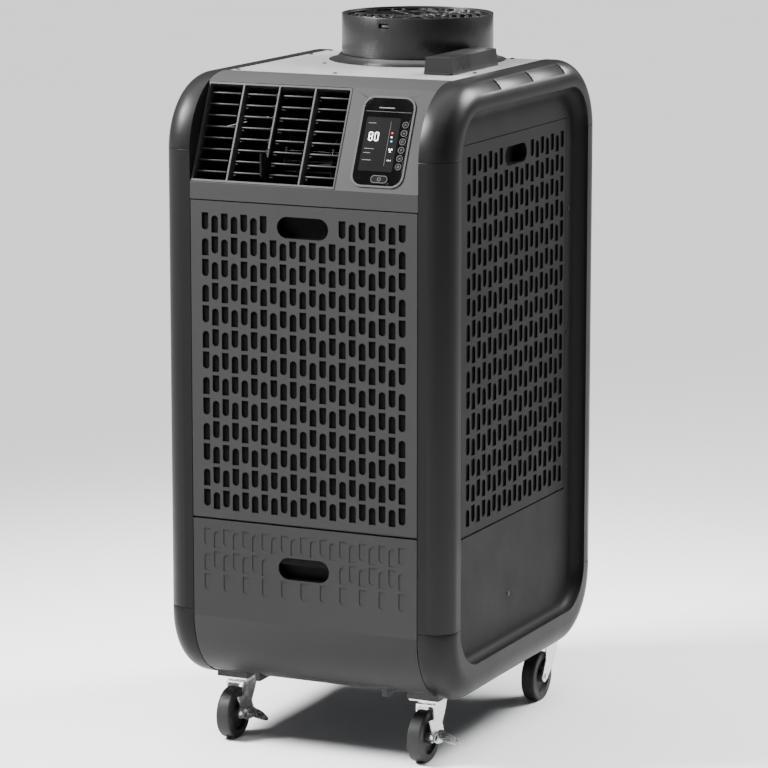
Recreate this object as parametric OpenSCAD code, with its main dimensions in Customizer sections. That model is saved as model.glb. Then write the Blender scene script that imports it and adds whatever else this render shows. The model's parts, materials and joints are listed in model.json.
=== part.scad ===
// Portable spot cooler and dehumidifier on casters: a moulded cabinet with a proud ring frame on each
// side, a louvred outlet and control module on a sloping facet, and a top collar for an exhaust duct.
// Millimetres, +Z up, front towards -Y. The origin is on the floor under the cabinet's middle.

/* [Cabinet] */
// Overall width over the two side rings
body_w = 600; // [590:5:640]
// Depth, front to back
body_d = 742; // [720:2:780]
// Height of the cabinet, without casters and collar
body_h = 1184; // [1184:1:1184]
// Height of the cabinet's underside above the floor
body_z0 = 123; // [123:1:123]
// Width of the middle between the two rings
core_w = 475; // [475:1:475]
// Radius of the four corners seen from the side
corner_r = 143; // [143:1:143]
// Radius of each ring's soft outer edge
edge_r = 45; // [30:1:45]
// Wall thickness of the moulded rings
ring_t = 4; // [3:0.5:4]
// Wall thickness of the covers and doors
wall = 3; // [2.5:0.5:3]
// Gap round a door or a cover
gap = 1.5; // [1:0.5:2]

/* [Side recess] */
// Distance from the cabinet's front or back to the recess
recess_margin = 60; // [55:1:70]
// Distance from the cabinet's top to the recess
recess_top = 52; // [45:1:60]
// Distance from the cabinet's underside to the recess
recess_bottom = 71; // [60:1:80]
// Corner radius of the recess
recess_r = 85; // [60:1:90]
// Depth of the recess
recess_depth = 26; // [22:1:28]
// Radius of the cove round the recess floor
cove_r = 20; // [10:1:22]

/* [Grilles] */
// Height of one slot
slot_h = 33.2; // [25:0.1:36]
// How much lower the slots with a round top sit
slot_drop = 4.9; // [0:0.1:6]
// Width of a slot in the front door
front_slot_w = 14.2; // [10:0.1:16]
// Distance between the front door's columns
front_pitch = 20.54; // [18:0.01:21]
// Width of a slot in a side door
side_slot_w = 17; // [12:0.5:19]
// Distance between a side door's columns
side_pitch = 25.5; // [22:0.1:26]
// Length of a hand pocket
pocket_l = 107; // [90:1:115]
// Height of a hand pocket
pocket_h = 41; // [32:1:41]
// Depth of a hand pocket
pocket_depth = 24; // [18:1:26]

/* [Doors] */
// Bottom edge of the front filter door
front_door_z0 = 459; // [459:1:459]
// Top edge of the front filter door
front_door_z1 = 1076; // [1076:1:1076]
// Width of a side filter door
side_door_w = 512; // [512:1:512]
// Bottom edge of a side filter door
side_door_z0 = 437; // [437:1:437]
// Top edge of a side filter door
side_door_z1 = 1190; // [1190:1:1190]

/* [Outlet] */
// Height of the sloping facet's lower edge
facet_z0 = 1110; // [1110:1:1110]
// How far the facet's upper edge sits behind its lower one
facet_run = 83; // [83:1:83]
// Number of louvre blades
blade_count = 8; // [8:1:8]
// Distance between the blades
blade_pitch = 22.3; // [20:0.1:23]
// Width of the louvre frame
louvre_w = 302; // [302:1:302]
// Radius of a blade's end pin
blade_pin_r = 1.5; // [1.2:0.1:2]

/* [Controls] */
// Width of the control module
module_w = 108; // [108:1:108]
// Height of the control module
module_h = 178; // [178:1:178]
// Corner radius of the control module
module_r = 24; // [16:1:26]
// Radius of a round button
button_r = 6.2; // [5:0.1:6.5]
// Distance between the round buttons
button_pitch = 16.3; // [15:0.1:17]
// Travel of a button
button_travel = 1; // [0.5:0.1:1.5]

/* [Exhaust] */
// Outer radius of the duct collar
collar_r = 150; // [150:1:150]
// Height of the collar's top above the floor
collar_top = 1397; // [1380:1:1397]
// Distance between the guard's rings
guard_pitch = 16.5; // [14:0.5:20]

/* [Casters] */
// Wheel radius
wheel_r = 50; // [50:1:50]
// Tread width
wheel_w = 28; // [24:1:28]
// How far a wheel trails behind its swivel axis
trail = 32; // [32:1:36]
// Distance of the front casters from the middle
front_caster_x = 205; // [190:1:215]
// Distance of the rear casters from the middle
rear_caster_x = 228; // [205:1:230]
// Radius of a wheel axle
axle_r = 4; // [3:0.5:5]

/* [Hidden] */
$fn = 48;
eps = 0.01;
half_w = body_w / 2;
half_d = body_d / 2;
core_half = core_w / 2;
z_top = body_z0 + body_h;
z_mid = body_z0 + body_h / 2;
arc_y = half_d - corner_r;
arc_z0 = body_z0 + corner_r;
arc_z1 = z_top - corner_r;
recess_x = half_w - recess_depth;

// The sloping facet: where it starts and how it leans
facet_rise = sqrt(pow(corner_r, 2) - pow(corner_r - facet_run, 2)) + arc_z1 - facet_z0;
facet_lean = atan(facet_run / facet_rise);
facet_len = sqrt(pow(facet_run, 2) + pow(facet_rise, 2));

// Seams between the ring mouldings
post_z0 = arc_z0 + 12;
post_z1 = arc_z1 + 6;
seam = 0.8;

// Doors
door_half = core_half - gap;
hinge_r = 5;
hinge_pin_r = 3;
running = 0.05;
front_hinge_y = -half_d + hinge_r;
front_hinge_z = front_door_z0 + gap / 2 + hinge_r;
front_rows = 13;
front_cols = 21;
front_row_pitch = 44.6;
front_row_top = 1052.7;
front_pocket_z = 1033.5;
side_rows = 16;
side_cols = 19;
side_row_pitch = 44.7;
side_row_top = 1166;
side_door_y = 3.5;
side_cols_y = 8;
side_pocket_y = 4.4;
side_pocket_z = 1146;
side_pocket_h = 37;
side_hinge_x = recess_x - hinge_r;
side_hinge_z = side_door_z0 + gap / 2 + hinge_r;

// Drawer
drawer_sweep = 54.5;
drawer_row_top = 440.8;
drawer_row_pitch = 44.8;
pull_z = 377;
groove = 1.2;
tank_half = 150;
tank_y0 = -338;
tank_y1 = -160;
tank_z0 = 192;
tank_z1 = 330;
tank_t = 2.5;

// Louvre, in the facet's own frame: X across, Y up the slope, Z out of it
louvre_x0 = -core_half + 1.5;
louvre_h = facet_len - 4;
louvre_rim = 4;
louvre_depth = 44;
bar_t = 3.5;
bar_depth = 22;
pivot_n = -30;
blade_front = -8;
blade_back = -37;
blade_t = 2.4;
blade_notch = 18;
tie_n = -13;
tie_t = 3;
tie_pin_r = 1.5;
lug_w = 3;
louvre_cx = louvre_x0 + louvre_w / 2;
bay = louvre_w / 4;
tie_x = louvre_cx - bar_t / 2 - 0.6 - tie_t;
first_blade_v = 1 + facet_len - 22;

// Control module, in the facet's frame
module_x = 148.5;
module_v = 98.5;
module_proud = 2;
module_depth = 28;
glass_t = 2.5;
glass_inset = 4;
button_x = 188.3 - 148.5;
button_v = 132.7 - module_v;
pill_x = 5.6;
pill_v = 25.5 - module_v;
pill_w = 36;
pill_h = 17;
hole_play = 0.3;

// Exhaust
collar_y = 149;
collar_t = 4;
top_z = z_top - 1.5;
top_front_y = -216;
skirt_h = 12;
skirt_r = 176;
guard_z = collar_top - 12;
cover_x = 166;
cover_y0 = -121;
cover_y1 = 94;
cover_h = 33;

// Casters: [x, y of the swivel axis]
front_swivel_y = -237;
rear_swivel_y = 269;
pad_z = body_z0 - 1.5;
plate_t = 3;
race_z = pad_z - plate_t;
fork_z = race_z - 8.5;
fork_t = 3;
fork_gap = 32;
kingpin_r = 6;
rod_r = 1.5;
brake_x = fork_gap / 2 + fork_t + 2.4;
brake_z = wheel_r + 17;
ear_t = 2.5;
ear_y0 = -trail - 1;
ear_y1 = -trail + 16;
casters = [[-front_caster_x, front_swivel_y], [front_caster_x, front_swivel_y],
           [-rear_caster_x, rear_swivel_y], [rear_caster_x, rear_swivel_y]];

// ---------------------------------------------------------------- shared shapes

// Rectangle with true round corners, centred
module round_rect(w, h, r) {
    square([w - 2 * r, h], center = true);
    square([w, h - 2 * r], center = true);
    for (sx = [-1, 1], sy = [-1, 1])
        translate([sx * (w / 2 - r), sy * (h / 2 - r)]) circle(r);
}

// Stadium with its length along X, centred
module stadium(l, h) {
    square([l - h, h], center = true);
    for (s = [-1, 1])
        translate([s * (l - h) / 2, 0]) circle(d = h);
}

// Sweeps a profile (inward distance, height) round a rounded rectangle in the XY plane
module border(w, h, r) {
    for (k = [0:3]) {
        a = k % 2 == 0 ? w : h;
        b = k % 2 == 0 ? h : w;
        rotate(90 * k) {
            translate([a / 2, b / 2 - r, 0]) rotate([90, 0, 0])
                linear_extrude(b - 2 * r) mirror([1, 0]) children();
            translate([a / 2 - r, b / 2 - r, 0])
                rotate_extrude(angle = 90, $fn = 96) translate([r, 0]) mirror([1, 0]) children();
        }
    }
}

// Turns a shape drawn in XY with its thickness along Z to face +X: X to Y, Y to Z, Z to X
module face_side() { rotate([90, 0, 90]) children(); }

// Turns a shape drawn in XZ outline (X, Z as Y) with its thickness along Z to run along +Y
module face_front() { rotate([90, 0, 0]) children(); }

// Places children in the facet's own frame
module on_facet() { translate([0, -half_d, facet_z0]) rotate([90 - facet_lean, 0, 0]) children(); }

// One grille slot from its top edge down; flip gives the round top
module slot(w, flip) {
    if (flip)
        translate([0, -slot_drop]) {
            translate([0, -w / 2]) circle(d = w);
            translate([-w / 2, -slot_h]) square([w, slot_h - w / 2]);
        }
    else {
        translate([-w / 2, -slot_h + w / 2]) square([w, slot_h - w / 2]);
        translate([0, -slot_h + w / 2]) circle(d = w);
    }
}

// A chequered field of slots with the top of its first row at y = 0, leaving room for a hand pocket
module slot_field(rows, cols, w, pitch, row_pitch, skip_from, skip_to) {
    for (r = [0:rows - 1], c = [0:cols - 1])
        if (r > 0 || c < skip_from || c > skip_to)
            translate([(c - (cols - 1) / 2) * pitch, -r * row_pitch]) slot(w, (r + c) % 2 == 1);
}

// Cup behind a stadium opening: the mouth is at z = 0 and the cup goes down
module pocket_cup(l, h) {
    difference() {
        translate([0, 0, -pocket_depth]) linear_extrude(pocket_depth) stadium(l + 2 * wall, h + 2 * wall);
        translate([0, 0, -pocket_depth + wall]) linear_extrude(pocket_depth) stadium(l, h);
    }
}

// ---------------------------------------------------------------- ring frame

module ring_block(x0, x1, u0, u1, r) {
    intersection() {
        union() {
            translate([u0, x0]) square([u1 - u0, x1 - x0 - r]);
            translate([u0 + r, x0]) square([u1 - u0 - r, x1 - x0]);
            translate([u0 + r, x1 - r]) circle(r, $fn = 96);
        }
        translate([u0, x0]) square([u1 - u0, x1 - x0]);
    }
}

module ring_profile() {
    difference() {
        ring_block(core_half, half_w, 0, edge_r + 3, edge_r);
        ring_block(core_half + ring_t, half_w - ring_t, ring_t, edge_r + 4, edge_r - ring_t);
    }
    translate([0, core_half]) square([recess_margin, ring_t]);
}

recess_w = body_d - 2 * recess_margin;
recess_h = body_h - recess_top - recess_bottom;
recess_shift = (recess_bottom - recess_top) / 2;

// The complete right ring, before it is cut into its mouldings
module ring() {
    translate([0, 0, z_mid]) face_side() {
        border(body_d, body_h, corner_r) ring_profile();
        translate([0, 0, half_w - ring_t]) linear_extrude(ring_t) difference() {
            round_rect(body_d - 2 * edge_r, body_h - 2 * edge_r, corner_r - edge_r, $fn = 96);
            translate([0, recess_shift]) round_rect(recess_w, recess_h, recess_r, $fn = 96);
        }
        translate([0, recess_shift, recess_x + 0.3]) linear_extrude(recess_depth - 0.3) difference() {
            round_rect(recess_w + 2 * ring_t, recess_h + 2 * ring_t, recess_r + ring_t, $fn = 96);
            round_rect(recess_w, recess_h, recess_r, $fn = 96);
        }
    }
}

// Keeps the part of the right ring between two heights and two depths
module ring_part(z0, z1, y0, y1) {
    intersection() {
        ring();
        translate([core_half - 5, y0, z0]) cube([half_w, y1 - y0, z1 - z0]);
    }
}

module front_post() {
    color("#3d3d3f") difference() {
        ring_part(post_z0, post_z1, -half_d - 1, 0);
        translate([core_half - 1, front_hinge_y, front_hinge_z]) rotate([0, 90, 0])
            cylinder(r = hinge_pin_r + running, h = ring_t + 2);
    }
}

module rear_post() { color("#3d3d3f") ring_part(post_z0, post_z1, 0, half_d + 1); }

module upper_arch() {
    color("#3d3d3f") difference() {
        ring_part(post_z1 + seam, z_top + 1, -half_d - 1, half_d + 1);
        for (y = [-118, 39, 198])
            translate([half_w - edge_r, y, z_top - edge_r]) rotate([0, 45, 0])
                translate([0, 0, edge_r - 3]) linear_extrude(10) stadium(26, 7);
    }
}

module lower_arch() { color("#3d3d3f") ring_part(body_z0 - 1, post_z0 - seam, -half_d - 1, half_d + 1); }

// ---------------------------------------------------------------- covers

// A strip of the cabinet's side outline in YZ, between two heights at the front, with its corner arcs
module arc_band(r1, r0, a0, a1) {
    intersection() {
        difference() {
            circle(r1, $fn = 96);
            circle(r0, $fn = 96);
        }
        polygon([[0, 0], for (t = [0:4]) 2 * corner_r * [cos(a0 + (a1 - a0) * t / 4), sin(a0 + (a1 - a0) * t / 4)]]);
    }
}

// Extrudes a YZ outline along X, centred
module across(w) { translate([-w / 2, 0, 0]) face_side() linear_extrude(w) children(); }

module side_panel() {
    color("#333335") difference() {
        union() {
            translate([0, 0, z_mid + recess_shift]) face_side() {
                translate([0, 0, recess_x - wall - 0.5]) linear_extrude(wall + 0.5)
                    round_rect(recess_w + 2 * ring_t, recess_h + 2 * ring_t, recess_r + ring_t, $fn = 96);
                border(recess_w, recess_h, recess_r) difference() {
                    translate([0.4, recess_x - 1]) square([cove_r, cove_r + 1]);
                    translate([cove_r + 0.4, recess_x + cove_r]) circle(cove_r, $fn = 96);
                }
            }
            for (s = [-1, 1])
                translate([side_hinge_x - 6, side_door_y + s * (side_door_w / 2 + gap + 5) - 5, side_hinge_z - 8])
                    cube([8, 10, 16]);
        }
        translate([recess_x - 20, side_door_y - side_door_w / 2, side_door_z0])
            cube([40, side_door_w, side_door_z1 - side_door_z0]);
        for (s = [-1, 1])
            translate([side_hinge_x, side_door_y + s * side_door_w / 2 - (s > 0 ? 1 : 13), side_hinge_z])
                rotate([-90, 0, 0]) cylinder(r = hinge_pin_r + running, h = 14);
    }
}

// The cabinet's outline at its top front, shrunk by t: rounded corner cut by the sloping facet
module front_outline(t) {
    intersection() {
        union() {
            translate([-arc_y, arc_z1]) circle(corner_r - t, $fn = 96);
            translate([-half_d + t, arc_z1 - 200]) square([corner_r, 200]);
            translate([-arc_y, arc_z1 - 200]) square([arc_y, corner_r + 200 - t]);
        }
        translate([-half_d, facet_z0]) rotate(-facet_lean) translate([t, -400]) square([800, 800]);
    }
}

module front_bezel() {
    color("#4a4a4c") difference() {
        across(core_w - 1) intersection() {
            difference() {
                front_outline(0);
                front_outline(wall);
            }
            translate([-half_d - 1, front_door_z1 + gap])
                square([half_d + 1 + top_front_y - gap / 2, z_top - front_door_z1]);
        }
        on_facet() {
            translate([louvre_x0 - 10, 1, -60]) cube([louvre_w + 11, facet_len - 2, 80]);
            translate([module_x, module_v, -20]) linear_extrude(40)
                round_rect(module_w + 1, module_h + 1, module_r + 0.5);
        }
    }
}

module top_panel() {
    color("#8c8d90") difference() {
        across(core_w - 1) {
            translate([top_front_y + gap / 2, top_z - wall]) square([arc_y - top_front_y - gap / 2, wall]);
            translate([arc_y, arc_z1]) arc_band(corner_r - 1.5, corner_r - 1.5 - wall, 0, 90);
        }
        translate([0, collar_y, top_z - 20]) cylinder(r = collar_r - collar_t, h = 40, $fn = 96);
    }
}

module rear_panel() {
    color("#39393b") difference() {
        across(core_w - 1) {
            translate([half_d - 1.5 - wall, arc_z0]) square([wall, arc_z1 - gap - arc_z0]);
            translate([arc_y, arc_z0]) arc_band(corner_r - 1.5, corner_r - 1.5 - wall, -45, 0);
        }
        for (x = [-150:30:150], z = [0:1])
            translate([x, half_d - 20, 620 + z * 190]) rotate([-90, 0, 0])
                linear_extrude(40) rotate(90) stadium(150, 8);
        translate([-150, half_d - 20, 330]) rotate([-90, 0, 0]) cylinder(r = 14, h = 40);
        translate([150, half_d - 20, 300]) rotate([-90, 0, 0]) cylinder(r = 12, h = 40);
    }
}

module base_pan() {
    pan_r = corner_r - 2;
    color("#9a9b9e") {
        across(core_w - 1) {
            translate([-arc_y, arc_z0]) arc_band(pan_r, pan_r - wall, 180 + drawer_sweep + 3.5, 270);
            translate([-arc_y, arc_z0 - pan_r]) square([2 * arc_y, wall]);
            translate([arc_y, arc_z0]) arc_band(pan_r, pan_r - wall, 270, 314);
        }
        for (s = [-1, 1]) {
            translate([s * 145, 0, 0]) across(84)
                translate([-arc_y, arc_z0]) arc_band(pan_r, pan_r - wall, 180 + drawer_sweep + 1.2, 270);
            // runners of the drawer
            translate([s * (tank_half - 14) - 5, -300, body_z0 + 4]) cube([10, 250, tank_z0 - body_z0 - 4.3]);
            // flanges up the sides
            translate([s * (core_half - 2) - 1.5, -arc_y, body_z0 + 4]) cube([3, 2 * arc_y, 40]);
        }
        for (c = casters) {
            translate([c[0] - 33, c[1] - 38, pad_z]) cube([66, 76, body_z0 - 0.5 - pad_z]);
            difference() {
                intersection() {
                    translate([c[0] - 33, c[1] - 38, pad_z]) cube([66, 76, 40]);
                    translate([-core_half + 1, -half_d, 0]) cube([core_w - 2, body_d, 200]);
                }
                across(body_w) {
                    for (s = [-1, 1])
                        translate([s * arc_y, arc_z0]) circle(pan_r - 1, $fn = 96);
                    translate([-arc_y, arc_z0 - pan_r + 1]) square([2 * arc_y, pan_r]);
                }
            }
        }
    }
}

// ---------------------------------------------------------------- exhaust

module exhaust_collar() {
    color("#2b2b2d") difference() {
        union() {
            translate([0, collar_y, top_z]) cylinder(r = collar_r - 1.5, h = skirt_h + eps, $fn = 96);
            translate([0, collar_y, top_z + skirt_h])
                cylinder(r = collar_r, h = collar_top - top_z - skirt_h, $fn = 96);
            // separate skirt ring round the foot
            translate([0, collar_y, top_z]) rotate_extrude($fn = 96) difference() {
                translate([collar_r - 1.3, 0]) square([skirt_r - collar_r + 1.3, skirt_h - 0.2]);
                translate([skirt_r, skirt_h + 14]) circle(r = skirt_r - collar_r, $fn = 96);
                translate([skirt_r - 0.5, 2]) square([10, 20]);
            }
        }
        translate([0, collar_y, top_z - 1]) cylinder(r = collar_r - collar_t, h = 120, $fn = 96);
        // latch windows of the guard
        for (a = [-92, 28, 148])
            translate([0, collar_y, collar_top - 20.5]) rotate(a) translate([collar_r - 10, -10.5, 0])
                cube([20, 21, 10]);
    }
}

module duct_guard() {
    outer = collar_r - collar_t - 0.5;
    color("#1f1f21") translate([0, collar_y, guard_z]) {
        for (k = [1:8])
            rotate_extrude($fn = 96) translate([k * guard_pitch - 1, 0]) square([2.4, 5]);
        rotate_extrude($fn = 96) translate([outer - 3, -6]) square([3, 14]);
        cylinder(r = 12, h = 5);
        for (a = [0:45:315])
            rotate(a) translate([8, -1.5, 0]) cube([outer - 10, 3, 5]);
    }
}

module cable_cover() {
    foot = 31;
    head = 26.5;
    color("#707175") difference() {
        union() {
            translate([cover_x, cover_y1, z_top - 1.4]) rotate([90, 0, 0]) linear_extrude(cover_y1 - cover_y0)
                polygon([[-foot, 0], [foot, 0], [head, cover_h], [-head, cover_h]]);
            translate([cover_x - foot + 6, cover_y0 - 6, z_top - 1.4]) cube([2 * foot - 12, 7, 4]);
        }
        translate([cover_x, cover_y1 + 1, z_top - 2.4]) rotate([90, 0, 0])
            linear_extrude(cover_y1 - cover_y0 - 2)
            polygon([[wall - foot, 0], [foot - wall, 0], [head - wall, cover_h - wall + 1],
                     [wall - head, cover_h - wall + 1]]);
        translate([0, collar_y, z_top - 5]) cylinder(r = collar_r + 3, h = 60, $fn = 96);
        translate([0, collar_y, z_top - 5]) cylinder(r = skirt_r + 0.4, h = skirt_h + 4.5, $fn = 96);
    }
}

// ---------------------------------------------------------------- louvre

module louvre_frame() {
    color("#6a6a6c") on_facet() translate([louvre_cx, facet_len / 2, 0]) difference() {
        union() {
            difference() {
                translate([0, 0, -louvre_depth / 2]) cube([louvre_w, louvre_h, louvre_depth], center = true);
                translate([0, 0, -louvre_depth / 2])
                    cube([louvre_w - 2 * louvre_rim, louvre_h - 2 * louvre_rim, louvre_depth + 2], center = true);
            }
            for (s = [-1, 1])
                translate([s * bay - bar_t / 2, -louvre_h / 2 + 1, -bar_depth]) cube([bar_t, louvre_h - 2, bar_depth]);
            translate([-bar_t / 2, -louvre_h / 2 + 70, -6]) cube([bar_t, louvre_h - 71, 6]);
        }
        for (k = [0:blade_count - 1])
            translate([-louvre_w, blade_v(k) - facet_len / 2, pivot_n]) rotate([0, 90, 0])
                cylinder(r = blade_pin_r + running, h = 2 * louvre_w);
    }
}

function blade_v(k) = first_blade_v - k * blade_pitch;

module louvre_blade(k) {
    inner = louvre_w - 2 * louvre_rim;
    color("#5b5b5d") on_facet() translate([louvre_cx, blade_v(k), 0]) {
        difference() {
            translate([-inner / 2 + 1, -blade_t / 2, blade_back]) cube([inner - 2, blade_t, blade_front - blade_back]);
            for (x = [-bay, 0, bay])
                translate([x - blade_notch / 2, -5, pivot_n + 4]) cube([blade_notch, 10, 40]);
        }
        // end pins
        for (s = [-1, 1])
            translate([s > 0 ? inner / 2 - 1.5 : -inner / 2 - louvre_rim + 0.5, 0, pivot_n]) rotate([0, 90, 0])
                cylinder(r = blade_pin_r, h = louvre_rim + 1);
        translate([-inner / 2 + 1, 0, pivot_n]) rotate([0, 90, 0]) cylinder(r = 2.2, h = inner - 2);
        // lug with the tie bar's pin hole
        difference() {
            translate([tie_x - louvre_cx - 0.4 - lug_w, -4, pivot_n]) cube([lug_w, 8, tie_n - pivot_n + 4]);
            translate([tie_x - louvre_cx - 10, 0, tie_n]) rotate([0, 90, 0]) cylinder(r = tie_pin_r + running, h = 20);
        }
    }
}

module louvre_tie_bar() {
    top = blade_v(0) + 5;
    low = blade_v(blade_count - 1) - 5;
    fin = 62;
    color("#6a6a6c") on_facet() {
        translate([tie_x, low, tie_n - 4]) cube([tie_t, top - low, 8]);
        for (k = [0:blade_count - 1])
            translate([tie_x - lug_w - 0.4, blade_v(k), tie_n]) rotate([0, 90, 0])
                cylinder(r = tie_pin_r, h = lug_w + 1);
        // thumb lever, its front edge upright
        translate([tie_x, 0, 0]) rotate([90, 0, 90]) linear_extrude(tie_t)
            polygon([[low, tie_n], [low - 4, -1], [low - 2, 4], [fin * cos(facet_lean), fin * sin(facet_lean) - 4],
                     [fin * cos(facet_lean) + 2, tie_n]]);
    }
}

// ---------------------------------------------------------------- controls

module button_holes(play) {
    for (k = [0:5])
        translate([button_x, button_v - k * button_pitch]) circle(button_r + play);
    translate([pill_x, pill_v]) round_rect(pill_w + 2 * play, pill_h + 2 * play, 7 + play);
}

module control_housing() {
    color("#18181a") on_facet() translate([module_x, module_v, 0]) difference() {
        translate([0, 0, -module_depth]) linear_extrude(module_depth + module_proud)
            round_rect(module_w, module_h, module_r);
        translate([0, 0, module_proud - glass_t]) linear_extrude(10)
            round_rect(module_w - 2 * glass_inset, module_h - 2 * glass_inset, module_r - glass_inset);
        translate([0, 0, -module_depth - 1]) linear_extrude(module_depth - 11)
            round_rect(module_w - 8, module_h - 8, module_r - 4);
        translate([0, 0, -module_depth]) linear_extrude(60) button_holes(hole_play);
    }
}

module control_glass() {
    color("#101012") on_facet() translate([module_x, module_v, module_proud - glass_t])
        linear_extrude(glass_t - 0.2) difference() {
            round_rect(module_w - 2 * glass_inset - 0.6, module_h - 2 * glass_inset - 0.6, module_r - glass_inset - 0.3);
            button_holes(hole_play);
        }
}

module round_button(k) {
    color("#cfd1d4") on_facet() translate([module_x + button_x, module_v + button_v - k * button_pitch, 0]) {
        translate([0, 0, -13]) cylinder(r = button_r, h = 13 + module_proud + button_travel);
        translate([0, 0, -13.8]) cylinder(r = button_r + 1, h = 1.5);
        translate([0, 0, -16]) cylinder(r = 3, h = 8);
    }
}

module power_button() {
    color("#8a8c90") on_facet() translate([module_x + pill_x, module_v + pill_v, 0]) {
        translate([0, 0, -13]) linear_extrude(13 + module_proud + button_travel) round_rect(pill_w, pill_h, 7);
    }
}

// ---------------------------------------------------------------- doors and drawer

module front_filter_door() {
    rim = 12;
    color("#4a4a4c") {
        difference() {
            union() {
                difference() {
                    translate([-door_half, -half_d, front_hinge_z])
                        cube([2 * door_half, rim, front_door_z1 - gap / 2 - front_hinge_z]);
                    translate([-door_half + wall, -half_d + wall, front_hinge_z + 12])
                        cube([2 * (door_half - wall), rim, front_door_z1 - gap / 2 - front_hinge_z - 12 - wall]);
                }
                translate([-door_half, front_hinge_y, front_hinge_z]) rotate([0, 90, 0])
                    cylinder(r = hinge_r, h = 2 * door_half);
                translate([0, -half_d, front_pocket_z]) face_front() pocket_cup(pocket_l, pocket_h);
            }
            translate([0, -half_d + wall + 1, front_row_top]) face_front() linear_extrude(20)
                slot_field(front_rows, front_cols, front_slot_w, front_pitch, front_row_pitch, 7, 13);
            translate([0, -half_d + pocket_depth - wall, front_pocket_z]) face_front() linear_extrude(60)
                stadium(pocket_l, pocket_h);
        }
        for (s = [-1, 1])
            translate([s > 0 ? door_half - 1 : -door_half - gap - ring_t + 0.5, front_hinge_y, front_hinge_z])
                rotate([0, 90, 0]) cylinder(r = hinge_pin_r, h = gap + ring_t + 0.5);
    }
}

module front_filter_pad() {
    color("#222224") difference() {
        translate([-door_half + wall + 0.3, -half_d + wall + 0.3, front_hinge_z + 12.3])
            cube([2 * (door_half - wall - 0.3), 6, front_door_z1 - front_hinge_z - 17]);
        translate([0, -half_d + 40, front_pocket_z]) face_front() linear_extrude(60)
            stadium(pocket_l + 2 * wall + 1, pocket_h + 2 * wall + 1);
    }
}

module side_filter_door() {
    rim = 10;
    h = side_door_z1 - gap - side_hinge_z;
    w = side_door_w - 2 * gap;
    color("#38383a") {
        difference() {
            union() {
                difference() {
                    translate([recess_x - rim, side_door_y - w / 2, side_hinge_z]) cube([rim, w, h]);
                    translate([recess_x - rim - 1, side_door_y - w / 2 + wall, side_hinge_z + 12])
                        cube([rim + 1 - wall, w - 2 * wall, h - 12 - wall]);
                }
                translate([side_hinge_x, side_door_y - w / 2, side_hinge_z]) rotate([-90, 0, 0])
                    cylinder(r = hinge_r, h = w);
                translate([recess_x, side_pocket_y, side_pocket_z]) face_side() pocket_cup(pocket_l, side_pocket_h);
            }
            translate([recess_x - wall - 1, side_cols_y, side_row_top]) face_side() linear_extrude(20)
                slot_field(side_rows, side_cols, side_slot_w, side_pitch, side_row_pitch, 7, 11);
            translate([recess_x - pocket_depth + wall, side_pocket_y, side_pocket_z]) face_side()
                linear_extrude(60) stadium(pocket_l, side_pocket_h);
        }
        for (s = [-1, 1])
            translate([side_hinge_x, side_door_y + (s > 0 ? w / 2 - 1 : -w / 2 - gap - 7), side_hinge_z])
                rotate([-90, 0, 0]) cylinder(r = hinge_pin_r, h = gap + 8);
    }
}

// Filter pad behind a side door's grille
module side_filter_pad() {
    w = side_door_w - 2 * gap - 2 * wall - 0.6;
    h = side_door_z1 - gap - side_hinge_z - 13 - wall;
    color("#222224") difference() {
        translate([recess_x - wall - 6.3, side_door_y - w / 2, side_hinge_z + 12.3]) cube([6, w, h]);
        translate([recess_x - 40, side_pocket_y, side_pocket_z]) face_side() linear_extrude(60)
            stadium(pocket_l + 2 * wall + 1, side_pocket_h + 2 * wall + 1);
    }
}

module drawer_front() {
    z1 = front_door_z0 - gap / 2;
    color("#48484a") difference() {
        union() {
            across(2 * door_half) {
                translate([-half_d, arc_z0]) square([wall, z1 - arc_z0]);
                translate([-half_d, z1 - wall]) square([14, wall]);
                translate([-arc_y, arc_z0]) arc_band(corner_r, corner_r - wall, 180, 180 + drawer_sweep);
            }
            translate([0, -half_d, pull_z]) face_front() pocket_cup(pocket_l, pocket_h + 2);
        }
        translate([0, -half_d + pocket_depth - wall, pull_z]) face_front() linear_extrude(60)
            stadium(pocket_l, pocket_h + 2);
        // shallow slot marks that carry the grille's pattern on
        translate([0, -half_d + groove, drawer_row_top]) face_front() linear_extrude(20)
            for (r = [0:2], c = [0:front_cols - 1])
                if ((r == 0) || (r == 1 && (c < 7 || c > 13)) || (r == 2 && c % 2 == 0))
                    translate([(c - 10) * front_pitch, -r * drawer_row_pitch])
                        slot(front_slot_w, (r + c) % 2 == 1);
    }
    // grip lip inside the pull
    color("#48484a") translate([0, -half_d + 9, pull_z + 2]) face_front() linear_extrude(7)
        intersection() {
            stadium(pocket_l + 1, pocket_h + 3);
            translate([-pocket_l, 6]) square([2 * pocket_l, 20]);
        }
}

module condensate_tank() {
    color("#c9ccd0") {
        difference() {
            translate([-tank_half, tank_y0, tank_z0]) cube([2 * tank_half, tank_y1 - tank_y0, tank_z1 - tank_z0]);
            translate([-tank_half + tank_t, tank_y0 + tank_t, tank_z0 + tank_t])
                cube([2 * (tank_half - tank_t), tank_y1 - tank_y0 - 2 * tank_t, tank_z1]);
        }
        // brackets to the drawer's front
        for (s = [-1, 1])
            translate([s * 110 - 10, -half_d + wall, tank_z1 - 40])
                cube([20, tank_y0 + half_d - wall, 3]);
    }
}

// ---------------------------------------------------------------- inside

module compressor() {
    color("#2d2d30") translate([-95, 60, body_z0 + 5.5]) {
        translate([0, 0, 22]) rotate_extrude($fn = 64)
            union() {
                square([72, 230]);
                translate([0, 230]) intersection() {
                    translate([0, -52]) circle(r = 89, $fn = 64);
                    square([72, 60]);
                }
            }
        cylinder(r = 86, h = 6);
        for (a = [45:90:315])
            rotate(a) translate([74, 0, 0]) cylinder(r = 8, h = 30);
        translate([40, 0, 250]) cylinder(r = 6, h = 70);
    }
}

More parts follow.
